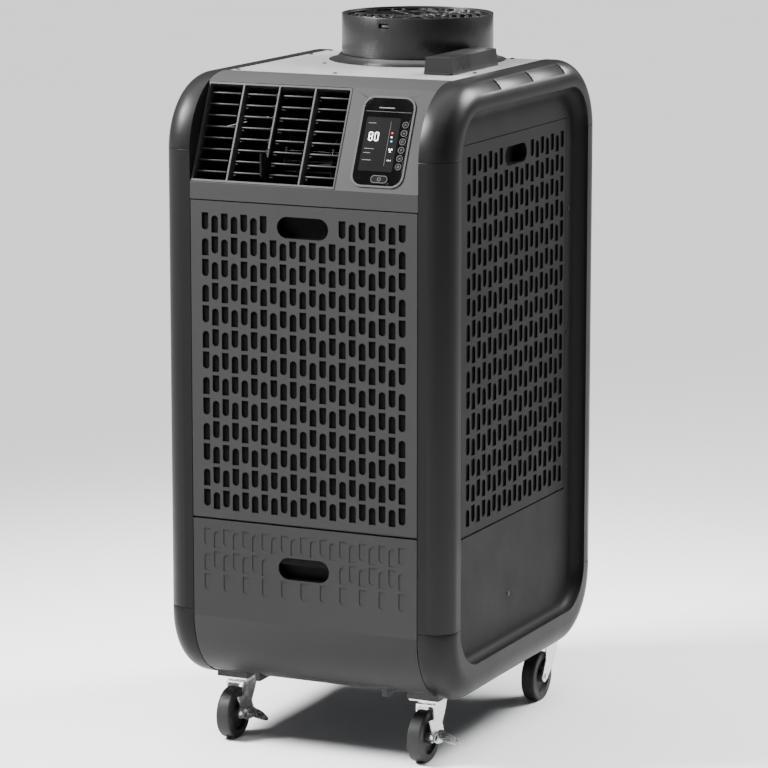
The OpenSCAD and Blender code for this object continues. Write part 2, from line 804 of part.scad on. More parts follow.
// Row of copper return bends up a coil's end
module return_bends(z0, z1, lean) {
    for (z = [z0:50:z1])
        translate([0, 0, z]) rotate(lean) rotate([0, 90, 0])
            rotate_extrude(angle = 180, $fn = 24) translate([12, 0]) circle(4, $fn = 16);
}

module evaporator_coil() {
    color("#b8bcc0") translate([-200, -330, 490]) cube([400, 44, 550]);
    color("#b8743a") for (s = [-1, 1])
        translate([s * 200, -308, 0]) return_bends(520, 1020, -90 * s);
}

module condenser_coil() {
    color("#b8bcc0") for (s = [-1, 1])
        translate([s * 205 - 20, -40, 470]) cube([40, 330, 700]);
    color("#b8743a") for (s = [-1, 1])
        translate([s * 205, 290, 0]) return_bends(500, 1150, 0);
}

// A run of tube through points, with a ball at each bend
module tube_run(points, r) {
    for (k = [0:len(points) - 2]) {
        d = points[k + 1] - points[k];
        l = norm(d);
        translate(points[k]) rotate([0, acos(d[2] / l), atan2(d[1], d[0])]) cylinder(r = r, h = l, $fn = 24);
        if (k > 0) translate(points[k]) sphere(r, $fn = 24);
    }
}

module refrigerant_tubes() {
    color("#b8743a") {
        tube_run([[-55, 60, 450], [-55, 60, 560], [-55, 200, 560], [-184.5, 200, 560]], 6);
        tube_run([[184.5, 150, 520], [60, 150, 520], [60, -285.5, 520]], 5);
    }
}

module bulkhead() {
    color("#8f9194") difference() {
        translate([-232, -49, body_z0 + 6]) cube([464, 2, 1120]);
        translate([60, -60, 520]) rotate([-90, 0, 0]) cylinder(r = 7, h = 20);
    }
}

module fan_motors() {
    color("#55575a") {
        translate([0, collar_y, 1150]) {
            cylinder(r = 48, h = 70);
            for (a = [0, 180])
                rotate(a) translate([44, -12, 20]) cube([160, 24, 4]);
        }
        translate([0, collar_y, 1215]) cylinder(r = 8, h = 22);
        // blower motor on the bulkhead
        translate([118, -150, 1120]) rotate([0, 90, 0]) cylinder(r = 40, h = 70);
        translate([90, -150, 1120]) rotate([0, 90, 0]) cylinder(r = 7, h = 30);
        translate([140, -112, 1105]) cube([30, 62.7, 30]);
    }
}

module exhaust_fan() {
    color("#2a2a2c") translate([0, collar_y, 1222]) {
        difference() {
            cylinder(r = 44, h = 40);
            translate([0, 0, -1]) cylinder(r = 8 + running, h = 20);
        }
        for (a = [0:51.43:359])
            rotate(a) translate([40, 0, 20]) rotate([32, 0, 0]) translate([0, -24, -1.5]) cube([88, 48, 3]);
    }
}

module evaporator_blower() {
    blades = 24;
    color("#2a2a2c") translate([-110, -150, 1120]) rotate([0, 90, 0]) {
        difference() {
            cylinder(r = 20, h = 220);
            translate([0, 0, 195]) cylinder(r = 7 + running, h = 40);
        }
        for (z = [0, 100, 197])
            translate([0, 0, z]) difference() {
                cylinder(r = 80, h = 3);
                translate([0, 0, -1]) cylinder(r = 19, h = 5);
            }
        for (k = [0:blades - 1])
            rotate(k * 360 / blades) translate([62, -1, 1]) cube([16, 2, 197]);
    }
}

module mains_inlet() {
    color("#1a1a1c") translate([-150, half_d - 1.5, 330]) rotate([90, 0, 0]) difference() {
        union() {
            translate([0, 0, wall]) cylinder(r = 20, h = 6);
            translate([0, 0, 0.5]) cylinder(r = 13.8, h = 20);
            cylinder(r = 12, h = 2);
        }
        translate([0, 0, -1]) cylinder(r = 6, h = 40);
    }
}

module drain_port() {
    color("#1a1a1c") translate([150, half_d - 1.5, 300]) rotate([90, 0, 0]) difference() {
        union() {
            translate([0, 0, wall]) cylinder(r = 18, h = 5);
            cylinder(r = 11.8, h = 25);
        }
        translate([0, 0, -1]) cylinder(r = 8, h = 40);
    }
}

module screw_head() {
    difference() {
        cylinder(r = 4.2, h = 1.6, $fn = 32);
        for (a = [0, 90])
            rotate(a) translate([-2.2, -0.5, 0.7]) cube([4.4, 1, 2]);
    }
}

module shell_screws() {
    color("#232325") {
        for (p = [[-228.5, 136], [-126, -14], [-228, 226], [-25, -176], [172, 224], [215, -60], [-225, -190]])
            translate([p[0], p[1], top_z]) screw_head();
        for (s = [-1, 1]) {
            for (z = [485, 760, 1007])
                translate([s * recess_x, 271, z]) rotate([0, s * 90, 0]) screw_head();
            translate([s * recess_x, -22, 283]) rotate([0, s * 90, 0]) screw_head();
            for (z = [300, 560, 820, 1120])
                translate([s * 215, half_d - 1.5, z]) rotate([-90, 0, 0]) screw_head();
        }
    }
}

// ---------------------------------------------------------------- casters

module caster_plate() {
    color("#c4c6ca") {
        translate([-30, -35, race_z]) cube([60, 70, plate_t]);
        translate([0, 0, race_z - 5]) cylinder(r = 26, h = 5);
        translate([0, 0, fork_z - fork_t - 4]) cylinder(r = kingpin_r, h = race_z - fork_z + fork_t + 2);
        translate([0, 0, fork_z - fork_t - 4]) cylinder(r = 10, h = 3.6);
    }
}

module fork(braked) {
    leg_x = fork_gap / 2;
    color("#d2d4d8") {
        difference() {
            union() {
                translate([-leg_x - fork_t, -26, fork_z - fork_t]) cube([fork_gap + 2 * fork_t, 60, fork_t]);
                translate([0, 0, fork_z - eps]) cylinder(r = 24, h = race_z - 5.3 - fork_z);
                for (s = [-1, 1])
                    translate([s > 0 ? leg_x : -leg_x - fork_t, 0, 0]) face_side() linear_extrude(fork_t) {
                        polygon([[-26, fork_z], [34, fork_z], [29, fork_z - 16], [21, fork_z - 30], [12, wheel_r + 16],
                                 [-trail + 7, wheel_r - 9], [-trail - 11, wheel_r + 4], [-26, fork_z - 26]]);
                        translate([-trail, wheel_r]) circle(12);
                    }
                if (braked)
                    for (y = [ear_y0, ear_y1 - ear_t])
                        translate([leg_x + fork_t - eps, y, brake_z - 4]) cube([brake_x - leg_x - fork_t + 2.8, ear_t, 8]);
            }
            translate([0, 0, fork_z - 20]) cylinder(r = kingpin_r + running, h = 60);
            translate([-50, -trail, wheel_r]) rotate([0, 90, 0]) cylinder(r = axle_r, h = 100);
            translate([brake_x, -trail - 20, brake_z]) rotate([-90, 0, 0]) cylinder(r = rod_r + running, h = 40);
        }
        // axle bolt and nut
        translate([-leg_x - fork_t - 4, -trail, wheel_r]) rotate([0, 90, 0]) {
            cylinder(r = axle_r, h = fork_gap + 2 * fork_t + 8);
            cylinder(r = 6.5, h = 4, $fn = 6);
            translate([0, 0, fork_gap + 2 * fork_t + 4]) cylinder(r = 6.5, h = 4, $fn = 6);
        }
    }
}

module wheel() {
    hub = fork_gap / 2 - 0.5;
    color("#1c1c1e") translate([0, -trail, wheel_r]) rotate([0, 90, 0]) {
        rotate_extrude($fn = 96) difference() {
            union() {
                translate([axle_r + running, -hub]) square([13 - axle_r, 2 * hub]);
                translate([axle_r + 2, -wheel_w / 2 + 7]) square([34, wheel_w - 14]);
                translate([34, -wheel_w / 2]) square([wheel_r - 38, wheel_w]);
                translate([wheel_r - 4 - 4, -wheel_w / 2 + 4]) square([8, wheel_w - 8]);
                for (s = [-1, 1])
                    translate([wheel_r - 4, s * (wheel_w / 2 - 4)]) circle(4, $fn = 32);
            }
        }
    }
}

module brake() {
    x0 = fork_gap / 2 + fork_t + 6;
    color("#b9bbc0") {
        difference() {
            translate([x0, 0, 0]) face_side() linear_extrude(2)
                polygon([[-trail - 33, wheel_r + 40], [-trail - 8, wheel_r + 38], [-trail + 27, wheel_r + 22],
                         [-trail + 37, wheel_r], [-trail + 30, wheel_r - 17], [-trail + 5, wheel_r - 14],
                         [-trail - 8, wheel_r - 8]]);
            translate([x0 - 1, -trail, wheel_r]) rotate([0, 90, 0]) cylinder(r = 8, h = 5);
        }
        // pedal, sloping out and down and tipped towards the front
        translate([x0 + 1, -trail + 14, wheel_r + 1.5]) rotate([30, 0, 0]) rotate([0, 18, 0])
            linear_extrude(2.4) polygon([[0, -9], [0, 13], [26, 8], [42, -1], [44, -6], [41, -10], [20, -12]]);
        // knuckle and rod
        translate([brake_x, ear_y0, brake_z]) rotate([-90, 0, 0]) cylinder(r = rod_r, h = ear_y1 - ear_y0);
        translate([brake_x, ear_y0 + ear_t + 0.5, brake_z]) rotate([-90, 0, 0])
            cylinder(r = 2.2, h = ear_y1 - ear_y0 - 2 * ear_t - 1);
        translate([brake_x, ear_y0 + ear_t + 0.5, brake_z - 1.5])
            cube([x0 - brake_x + 1, ear_y1 - ear_y0 - 2 * ear_t - 1, 3]);
    }
}

module at_caster(k) { translate([casters[k][0], casters[k][1], 0]) children(); }

// ---------------------------------------------------------------- nodes

base_pan();
for (s = [0, 1]) mirror([s, 0, 0]) {  // ring_posts
        front_post();
        rear_post();
    }
for (s = [0, 1]) mirror([s, 0, 0]) upper_arch();  // upper_arches
for (s = [0, 1]) mirror([s, 0, 0]) lower_arch();  // lower_arches
for (s = [0, 1]) mirror([s, 0, 0]) side_panel();  // side_panels
front_bezel();
top_panel();
rear_panel();
exhaust_collar();
duct_guard();
cable_cover();
louvre_frame();
control_housing();
control_glass();
mains_inlet();
drain_port();
compressor();
evaporator_coil();
condenser_coil();
refrigerant_tubes();
fan_motors();
bulkhead();
shell_screws();
for (k = [0:3]) at_caster(k) caster_plate();  // caster_plates
front_filter_door();
front_filter_pad();
mirror([1, 0, 0]) side_filter_door();  // left_filter_door
mirror([1, 0, 0]) side_filter_pad();  // left_filter_pad
side_filter_door();  // right_filter_door
side_filter_pad();  // right_filter_pad
drawer_front();
condensate_tank();
for (k = [0:blade_count - 1])
    louvre_blade(k);
louvre_tie_bar();
for (k = [0:5])
    round_button(k);
power_button();
exhaust_fan();
evaporator_blower();
at_caster(0) fork(true);  // front_left_fork
at_caster(1) fork(true);  // front_right_fork
at_caster(2) fork(false);  // rear_left_fork
at_caster(3) fork(false);  // rear_right_fork
at_caster(0) wheel();  // front_left_wheel
at_caster(1) wheel();  // front_right_wheel
at_caster(2) wheel();  // rear_left_wheel
at_caster(3) wheel();  // rear_right_wheel
at_caster(0) brake();  // front_left_brake
at_caster(1) brake();  // front_right_brake
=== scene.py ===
"""Looks of the portable spot cooler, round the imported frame.

Materials, small mesh pieces, floor, light and camera.
"""

import json
import math

import bmesh
import bpy
from mathutils import Matrix, Vector


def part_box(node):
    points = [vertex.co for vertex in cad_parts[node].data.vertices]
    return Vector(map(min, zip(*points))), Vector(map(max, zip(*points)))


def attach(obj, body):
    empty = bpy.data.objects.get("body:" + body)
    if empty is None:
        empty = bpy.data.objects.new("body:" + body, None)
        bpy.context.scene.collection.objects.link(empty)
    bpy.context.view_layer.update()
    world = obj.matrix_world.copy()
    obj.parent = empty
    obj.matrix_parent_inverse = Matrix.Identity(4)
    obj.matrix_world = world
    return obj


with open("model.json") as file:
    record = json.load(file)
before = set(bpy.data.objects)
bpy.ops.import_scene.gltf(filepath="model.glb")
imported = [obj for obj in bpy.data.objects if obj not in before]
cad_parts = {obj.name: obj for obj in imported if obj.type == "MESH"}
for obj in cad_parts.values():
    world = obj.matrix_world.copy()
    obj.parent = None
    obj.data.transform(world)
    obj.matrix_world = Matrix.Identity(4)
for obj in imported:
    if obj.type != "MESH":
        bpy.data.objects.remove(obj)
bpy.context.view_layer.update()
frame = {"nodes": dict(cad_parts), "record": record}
nodes = frame["nodes"]
MM = 0.001
COLOUR_A, COLOUR_B = 6, 7  # colour inputs of a Mix node
MIXED_COLOUR = 2  # its colour output

# ------------------------------------------------------------------ materials


class Shader:
    """One procedural material built node by node round a Principled BSDF."""

    def __init__(self, name, **constants):
        self.material = bpy.data.materials.new(name)
        self.material.use_nodes = True
        self.tree = self.material.node_tree
        self.bsdf = self.tree.nodes["Principled BSDF"]
        for socket, value in constants.items():
            self.bsdf.inputs[socket.replace("_", " ")].default_value = value
        self.coords = self.node("ShaderNodeTexCoord").outputs["Object"]

    def node(self, kind, **values):
        made = self.tree.nodes.new(kind)
        for key, value in values.items():
            if key in made.inputs:
                made.inputs[key].default_value = value
            else:
                setattr(made, key, value)
        return made

    def link(self, a, b):
        self.tree.links.new(a, b)

    def noise(self, scale, detail=2.0, rough=0.5, stretch=None):
        made = self.node("ShaderNodeTexNoise", Scale=scale, Detail=detail, Roughness=rough)
        source = self.coords
        if stretch:
            mapping = self.node("ShaderNodeMapping")
            mapping.inputs["Scale"].default_value = stretch
            self.link(self.coords, mapping.inputs["Vector"])
            source = mapping.outputs["Vector"]
        self.link(source, made.inputs["Vector"])
        return made.outputs["Fac"]

    def span(self, fac, low, high, frm=(0.3, 0.7)):
        """Number between low and high as fac goes over frm."""
        made = self.node("ShaderNodeMapRange")
        made.inputs["From Min"].default_value, made.inputs["From Max"].default_value = frm
        made.inputs["To Min"].default_value, made.inputs["To Max"].default_value = low, high
        self.link(fac, made.inputs["Value"])
        return made.outputs["Result"]

    def mix(self, fac, a, b):
        """Colour between a and b; each is a colour or an output."""
        made = self.node("ShaderNodeMix", data_type="RGBA")
        for index, value in ((COLOUR_A, a), (COLOUR_B, b)):
            if isinstance(value, bpy.types.NodeSocket):
                self.link(value, made.inputs[index])
            else:
                made.inputs[index].default_value = (*value, 1)
        self.link(fac, made.inputs[0])
        return made.outputs[MIXED_COLOUR]

    def maths(self, operation, a, b=0.0):
        made = self.node("ShaderNodeMath", operation=operation)
        for index, value in enumerate((a, b)):
            if isinstance(value, bpy.types.NodeSocket):
                self.link(value, made.inputs[index])
            else:
                made.inputs[index].default_value = value
        return made.outputs[0]

    def colour(self, output):
        self.link(output, self.bsdf.inputs["Base Color"])

    def roughness(self, output):
        self.link(output, self.bsdf.inputs["Roughness"])

    def bump(self, height, strength, distance):
        made = self.node("ShaderNodeBump", Strength=strength, Distance=distance)
        self.link(height, made.inputs["Height"])
        self.link(made.outputs["Normal"], self.bsdf.inputs["Normal"])


def grey(value, warm=0.0):
    return (value * (1 + warm), value, value * (1 - warm * 0.6 + 0.02))


def moulded(name, value, rough, level, inner=None):
    """Moulded ABS: fine spark-eroded grain, faint cloudiness and slight handling sheen.

    inner = (axis, limit, half width, low z, high z): what lies deeper than
    limit along that axis is painted near black, as shade inside the slots.
    """
    s = Shader(name, Specular_IOR_Level=level)
    cloud = s.noise(3.1, 3.0)
    fine = s.noise(1100, 1.0)
    shade = s.mix(cloud, grey(value * (1 - 0.06)), grey(value * (1 + 0.06)))
    if inner:
        axis, limit, half_width, bottom, top = inner
        parts = s.node("ShaderNodeSeparateXYZ")
        s.link(s.coords, parts.inputs[0])
        x, _, z = parts.outputs
        deep = s.maths("LESS_THAN", s.maths("ABSOLUTE", parts.outputs[axis]), limit)
        above = s.maths("GREATER_THAN", z, bottom)
        tall = s.maths("MULTIPLY", above, s.maths("LESS_THAN", z, top))
        wide = s.maths("LESS_THAN", s.maths("ABSOLUTE", x), half_width)
        slot_shade_mask = s.maths("MULTIPLY", deep, s.maths("MULTIPLY", tall, wide))
        # painted shade: faces set back from the door's face, inside the slots, go near black
        shade = s.mix(slot_shade_mask, shade, grey(0.0008))
    s.colour(shade)
    wear = s.noise(9.0, 5.0, 0.6)
    s.roughness(s.maths("ADD", s.span(wear, rough - 0.05, rough + 0.05), s.span(fine, -0.03, 0.03)))
    s.bump(fine, 0.35, 0.00006)
    return s.material


def painted(name, value, rough=0.42, level=0.5):
    """Powder-coated sheet: soft orange peel and a few faint rubs."""
    s = Shader(name, Specular_IOR_Level=level)
    peel = s.noise(420, 2.0)
    cloud = s.noise(5.0, 4.0)
    s.colour(s.mix(cloud, grey(value * 0.93), grey(value * 1.06)))
    s.roughness(s.span(s.noise(24, 6.0, 0.65), rough - 0.06, rough + 0.07))
    s.bump(peel, 0.3, 0.00008)
    return s.material


def plated(name, value, rough=0.22):
    """Bright zinc plate with draw lines and slight dulling."""
    s = Shader(name, Metallic=1.0)
    lines = s.noise(260, 2.0, 0.5, (0.25, 0.25, 3.0))
    dull = s.noise(38, 4.0, 0.6)
    s.colour(s.mix(dull, grey(value * 0.9), grey(value * 1.05)))
    s.roughness(s.maths("ADD", s.span(dull, rough, rough + 0.12), s.span(lines, -0.04, 0.04)))
    s.bump(lines, 0.15, 0.00004)
    return s.material


def gloss(name, value, rough, level):
    """Gloss plastic or a printed cover glass with a trace of smear."""
    s = Shader(name, Specular_IOR_Level=level)
    smear = s.noise(14, 5.0, 0.62, (1.0, 1.0, 0.4))
    s.colour(s.mix(s.noise(4.0), grey(value * 0.95), grey(value * 1.05)))
    s.roughness(s.span(smear, rough - 0.03, rough + 0.06))
    return s.material


def rubber(name, value):
    """Tyre rubber with pale scuffs."""
    s = Shader(name, Specular_IOR_Level=0.35)
    scuff = s.noise(55, 6.0, 0.7)
    s.colour(s.mix(s.span(scuff, 0.0, 1.0, (0.52, 0.78)), grey(value), grey(value * 1.9, 0.03)))
    s.roughness(s.span(scuff, 0.48, 0.7))
    s.bump(s.noise(700, 2.0), 0.3, 0.00008)
    return s.material


def wave_coords(s, scale):
    """Object coordinates as separate numbers, in radians of a wave of that scale."""
    mapping = s.node("ShaderNodeMapping")
    mapping.inputs["Scale"].default_value = scale
    s.link(s.coords, mapping.inputs["Vector"])
    parts = s.node("ShaderNodeSeparateXYZ")
    s.link(mapping.outputs["Vector"], parts.inputs[0])
    return parts.outputs


def filter_media(name):
    """Open woven nylon mesh: dark threads each way over a darker ground, all near black as painted
    shade seen through the door slots.
    """
    s = Shader(name, Specular_IOR_Level=0.05)
    pitch = 2 * math.pi / (1.6 * MM)
    x, y, z = wave_coords(s, (pitch, pitch, pitch))
    across = s.maths("SINE", s.maths("ADD", x, y))
    up = s.maths("SINE", z)
    thread = s.maths("MAXIMUM", across, up)
    woven = s.span(thread, 0.0, 1.0, (0.35, 0.95))
    # painted shade: ground between threads and threads kept near black for the shaded slots
    s.colour(s.mix(woven, (0.0006, 0.0006, 0.0006), (0.004, 0.004, 0.0041)))
    s.bsdf.inputs["Roughness"].default_value = 0.8
    s.bump(thread, 0.6, 0.0003)
    return s.material


def coil_fins(name):
    """Pack of thin bare aluminium fins, upright, 1.8 mm apart; the dark stripes between them are
    painted shade in the gaps.
    """
    s = Shader(name, Metallic=0.9)
    pitch = 2 * math.pi / (1.8 * MM)
    x, y, z = wave_coords(s, (pitch, pitch, pitch))
    fin = s.maths("SINE", s.maths("ADD", x, y))
    shade = s.span(fin, 0.0, 1.0, (-0.2, 0.9))
    # painted shade: the dark half of each stripe is the shaded gap between fins
    s.colour(s.mix(shade, (0.01, 0.01, 0.0105), (0.35, 0.36, 0.37)))
    s.roughness(s.span(s.noise(30, 3.0), 0.35, 0.5))
    s.bump(fin, 0.7, 0.0006)
    return s.material


def copper(name):
    """Refrigerant tube, tarnished in patches."""
    s = Shader(name, Metallic=1.0)
    tarnish = s.noise(26, 5.0, 0.6)
    s.colour(s.mix(s.span(tarnish, 0, 1, (0.4, 0.7)), (0.72, 0.34, 0.19), (0.4, 0.19, 0.11)))
    s.roughness(s.span(tarnish, 0.2, 0.42))
    return s.material


def tank_plastic(name):
    """Milky polyethylene that lets a little light in."""
    s = Shader(name, Specular_IOR_Level=0.45)
    s.bsdf.inputs["Subsurface Weight"].default_value = 0.15
    s.bsdf.inputs["Subsurface Radius"].default_value = (0.01, 0.01, 0.01)
    s.colour(s.mix(s.noise(6.0, 3.0), (0.62, 0.64, 0.66), (0.72, 0.74, 0.76)))
    s.roughness(s.span(s.noise(40, 4.0), 0.38, 0.52))
    s.bump(s.noise(800, 1.0), 0.2, 0.00006)
    return s.material


def lit(name, tint, strength):
    """Printed or lit mark on the display."""
    s = Shader(name, Emission_Strength=strength, Specular_IOR_Level=0.1)
    flicker = s.noise(900, 1.0)
    dim = tuple(c * 0.85 for c in tint)
    s.colour(s.mix(flicker, dim, tint))
    s.bsdf.inputs["Emission Color"].default_value = (*tint, 1)
    s.bsdf.inputs["Roughness"].default_value = 0.3
    return s.material


materials = {
    "ring_plastic": moulded("ring_plastic", 0.008, 0.38, level=0.10),
    "panel_plastic": moulded("panel_plastic", 0.011, 0.50, level=0.06),
    "front_plastic": moulded("front_plastic", 0.028, 0.50, level=0.08),
    "top_plate": painted("top_plate", 0.17),
    "sheet_steel": painted("sheet_steel", 0.030, 0.40, 0.15),
    "collar_plastic": moulded("collar_plastic", 0.010, 0.30, level=0.4),
    "guard_plastic": moulded("guard_plastic", 0.020, 0.40, level=0.2),
    "louvre_plastic": moulded("louvre_plastic", 0.028, 0.42, level=0.12),
    # blades near black: painted shade of the shaded louvre passages; their lit front edges get
    # paler strips further on
    "blade_plastic": moulded("blade_plastic", 0.004, 0.55, level=0.1),
    # grey rather than black: the housing's border stands in as painted highlight on its bevelled
    # rim
    "black_plastic": moulded("black_plastic", 0.035, 0.38, level=0.12),
    "display_glass": gloss("display_glass", 0.0015, 0.14, 0.08),
    "motor_paint": painted("motor_paint", 0.02, 0.3),
    "coil_fins": coil_fins("coil_fins"),
    "copper": copper("copper"),
    "screw_steel": plated("screw_steel", 0.05, 0.35),
    "zinc": plated("zinc", 0.72, 0.2),
    "wheel_rubber": rubber("wheel_rubber", 0.010),
    "filter_media": filter_media("filter_media"),
    "tank_plastic": tank_plastic("tank_plastic"),
    "button_plastic": gloss("button_plastic", 0.0025, 0.25, 0.08),
    "fan_plastic": moulded("fan_plastic", 0.014, 0.4, level=0.3),
}

BEVEL = {  # mm, 0.35 on the rest
    "ring_posts": 0.6, "upper_arches": 0.6, "lower_arches": 0.6,
    "front_filter_door": 0.45, "left_filter_door": 0.45, "right_filter_door": 0.45,
    "drawer_front": 0.4, "front_bezel": 0.5, "top_panel": 0.8, "exhaust_collar": 0.8,
    "cable_cover": 1.2, "louvre_frame": 0.5, "control_housing": 0.9,
    "control_glass": 0.3, "condensate_tank": 0.6, "side_panels": 0.4,
    "base_pan": 0.4, "duct_guard": 0.5, "caster_plates": 0.5,
}
SKIN = 0.0007  # depth of a door's face; slot walls deeper than this get painted shade, near black
half_depth = -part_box("front_filter_door")[0][1]
side_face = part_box("right_filter_door")[1][0]
front_skin = half_depth - SKIN
# front and side doors and the drawer: their slot walls are painted near black as shade
door_front = moulded("front_door_plastic", 0.026, 0.50, 0.08, (1, front_skin, 1, 0, 2))
drawer_skin = moulded(
    "drawer_plastic", 0.024, 0.50, 0.08, (1, front_skin, 0.058, 0.352, 0.402)
)
door_side = moulded(
    "side_door_plastic", 0.011, 0.50, 0.06, (0, side_face - SKIN, 1, 0, 2)
)
own_finish = {
    "front_filter_door": door_front, "drawer_front": drawer_skin,
    "left_filter_door": door_side, "right_filter_door": door_side,
}
slots = {entry["node"]: entry["material_slot"] for entry in frame["record"]["subparts"]}
for name, node in nodes.items():
    node.data.materials.clear()
    node.data.materials.append(own_finish.get(name, materials[slots[name]]))
    weld = node.modifiers.new("weld", "WELD")
    weld.merge_threshold = 0.00001
    bevel = node.modifiers.new("edge", "BEVEL")
    bevel.width = BEVEL.get(name, 0.35) * MM
    bevel.segments = 2
    bevel.limit_method = "ANGLE"
    bevel.angle_limit = math.radians(35)
    bevel.harden_normals = False

# ------------------------------------------------------------------ display, buttons, louvre noses with painted highlight

joints = {joint["name"]: joint for joint in frame["record"]["behaviour"]["joints"]}
OUT = -Vector(joints["power_button_press"]["axis"]).normalized()
UP = Vector((0, OUT.z, -OUT.y))
FACET_FOOT = 1.110  # height at which the sloping facet starts
ORIGIN = Vector((0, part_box("front_bezel")[0][1], FACET_FOOT))
FACET = Matrix((Vector((1, 0, 0)), UP, OUT)).transposed().to_4x4()
FACET.translation = ORIGIN


def front_of(node):
    """Furthest a node's vertices stand out of the facet's plane, in mm."""
    return max((v.co - ORIGIN).dot(OUT) for v in nodes[node].data.vertices) / MM


def centre_on_facet(name):
    """Middle of a node across and up the facet, in mm."""
    low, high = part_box(name)
    vertices = nodes[name].data.vertices
    middle = sum(((v.co - ORIGIN) for v in vertices), Vector()) / len(vertices)
    return (low[0] + high[0]) / 2 / MM, middle.dot(UP) / MM


def place(name, data):
    obj = bpy.data.objects.new(name, data)
    bpy.context.scene.collection.objects.link(obj)
    return obj


def piece(name, build, material, body, smooth=False):
    """Turn a bmesh into a named piece that rides a body."""
    mesh = bpy.data.meshes.new(name)
    bmesh.ops.recalc_face_normals(build, faces=build.faces)
    build.to_mesh(mesh)
    build.free()
    if smooth:
        mesh.shade_smooth()
    obj = place(name, mesh)
    mesh.materials.append(material)
    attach(obj, body)


def rectangle(x0, v0, x1, v1, r=0.0, steps=5):
    """Outline of a rectangle with rounded corners, counter-clockwise, in mm."""
    if r <= 0:
        return [(x0, v0), (x1, v0), (x1, v1), (x0, v1)]
    points = []
    corners = (
        (x1 - r, v0 + r, -90), (x1 - r, v1 - r, 0),
        (x0 + r, v1 - r, 90), (x0 + r, v0 + r, 180),
    )
    for cx, cv, start in corners:
        for k in range(steps + 1):
            a = math.radians(start + 90 * k / steps)
            points.append((cx + r * math.cos(a), cv + r * math.sin(a)))
    return points


def disc(x, v, r, count=28):
    turns = [2 * math.pi * k / count for k in range(count)]
    return [(x + r * math.cos(a), v + r * math.sin(a)) for a in turns]


def bar(x0, v0, x1, v1, width):
    """Straight stroke from one point to another."""
    dx, dv = x1 - x0, v1 - v0
    length = math.hypot(dx, dv)
    nx, nv = -dv / length * width / 2, dx / length * width / 2
    return [(x0 - nx, v0 - nv), (x1 - nx, v1 - nv), (x1 + nx, v1 + nv), (x0 + nx, v0 + nv)]


def ring(outer, inner):
    """Outline with a hole, both loops with as many points."""
    return ("ring", outer, inner)


def arc(x, v, r, width, a0, a1, steps=20):
    """Open arc stroke as one outline."""
    angles = [math.radians(a0 + (a1 - a0) * k / steps) for k in range(steps + 1)]
    out, back = r + width / 2, r - width / 2
    outside = [(x + out * math.cos(a), v + out * math.sin(a)) for a in angles]
    inside = [(x + back * math.cos(a), v + back * math.sin(a)) for a in reversed(angles)]
    return outside + inside


def marks(name, outlines, front, body, slot, material, height=0.12, sink=0.05):
    """Thin raised prints on the facet, one closed prism for each outline."""
    build = bmesh.new()

    def layer(points, n):
        return [build.verts.new(FACET @ Vector((x * MM, v * MM, n * MM))) for x, v in points]

    for outline in outlines:
        if outline[0] == "ring":
            loops = [(layer(p, front - sink), layer(p, front + height)) for p in outline[1:]]
            (low_a, high_a), (low_b, high_b) = loops
            count = len(low_a)
            for k in range(count):
                j = (k + 1) % count
                build.faces.new((low_a[k], low_a[j], high_a[j], high_a[k]))
                build.faces.new((low_b[j], low_b[k], high_b[k], high_b[j]))
                build.faces.new((high_a[k], high_a[j], high_b[j], high_b[k]))
                build.faces.new((low_a[j], low_a[k], low_b[k], low_b[j]))
        else:
            low, high = layer(outline, front - sink), layer(outline, front + height)
            build.faces.new(high)
            build.faces.new(list(reversed(low)))
            for k in range(len(low)):
                j = (k + 1) % len(low)
                build.faces.new((low[k], low[j], high[j], high[k]))
    piece(name, build, material, body)


SEGMENTS = {"8": "abcdefg", "0": "abcdef"}


def digit(symbol, x, v, w, h, t):
    """Seven-segment numeral with its lower left corner at x, v."""
    left, right = x + t / 2, x + w - t / 2
    bottom, middle, top = v + t / 2, v + h / 2, v + h - t / 2
    strokes = {
        "a": (x + t, top, x + w - t, top),
        "g": (x + t, middle, x + w - t, middle),
        "d": (x + t, bottom, x + w - t, bottom),
        "f": (left, middle, left, top),
        "b": (right, middle, right, top),
        "e": (left, bottom, left, middle),
        "c": (right, bottom, right, middle),
    }
    return [bar(*strokes[key], t) for key in SEGMENTS[symbol]]


glass = front_of("control_glass")
white = lit("display_white", (0.75, 0.78, 0.80), 0.55)
soft = lit("display_soft", (0.10, 0.10, 0.11), 0.25)
blue = lit("display_blue", (0.03, 0.22, 0.62), 0.7)
red = lit("display_red", (0.62, 0.03, 0.02), 0.7)
screen = gloss("screen_ground", 0.0022, 0.35, 0.03)

PANEL = 0.05  # mm the screen panel stands out of the glass
ON_DISPLAY = ("cabinet", "display_glass")

screen_outline = rectangle(107.5, 40.8, 176.5, 145.6, 2)
marks("screen_panel", [screen_outline], glass, *ON_DISPLAY, screen, PANEL)
top = glass + PANEL
header = [bar(103, 157, 196, 157, 0.5), rectangle(128, 163.5, 160, 165.5, 0.9)]
divider = bar(158, 52, 158, 138, 0.5)
rows = [bar(112, v, end, v, 1.2) for v, end in ((134, 128), (84, 132), (76, 126), (62, 130))]
marks("display_lines", header, glass, *ON_DISPLAY, soft)
marks("display_rows", [divider, *rows], top, *ON_DISPLAY, soft)
fan = [disc(166, 83, 1.2)]
fan += [arc(166, 83, 3.2, 2.0, 120 * k, 120 * k + 62, 8) for k in range(3)]
dots = [disc(163.5 + 3 * k, 63, 0.8, 16) for k in range(3)]
figures = digit("8", 117, 99, 8.5, 18, 2.1) + digit("0", 129, 99, 8.5, 18, 2.1)
figures += [disc(164, 108, 1.6), *fan, *dots]
marks("display_figures", figures, top, *ON_DISPLAY, white)
marks("display_cool_mark", [disc(165, 100, 2)], top, *ON_DISPLAY, blue)
marks("display_heat_mark", [disc(164, 116, 1.8)], top, *ON_DISPLAY, red)

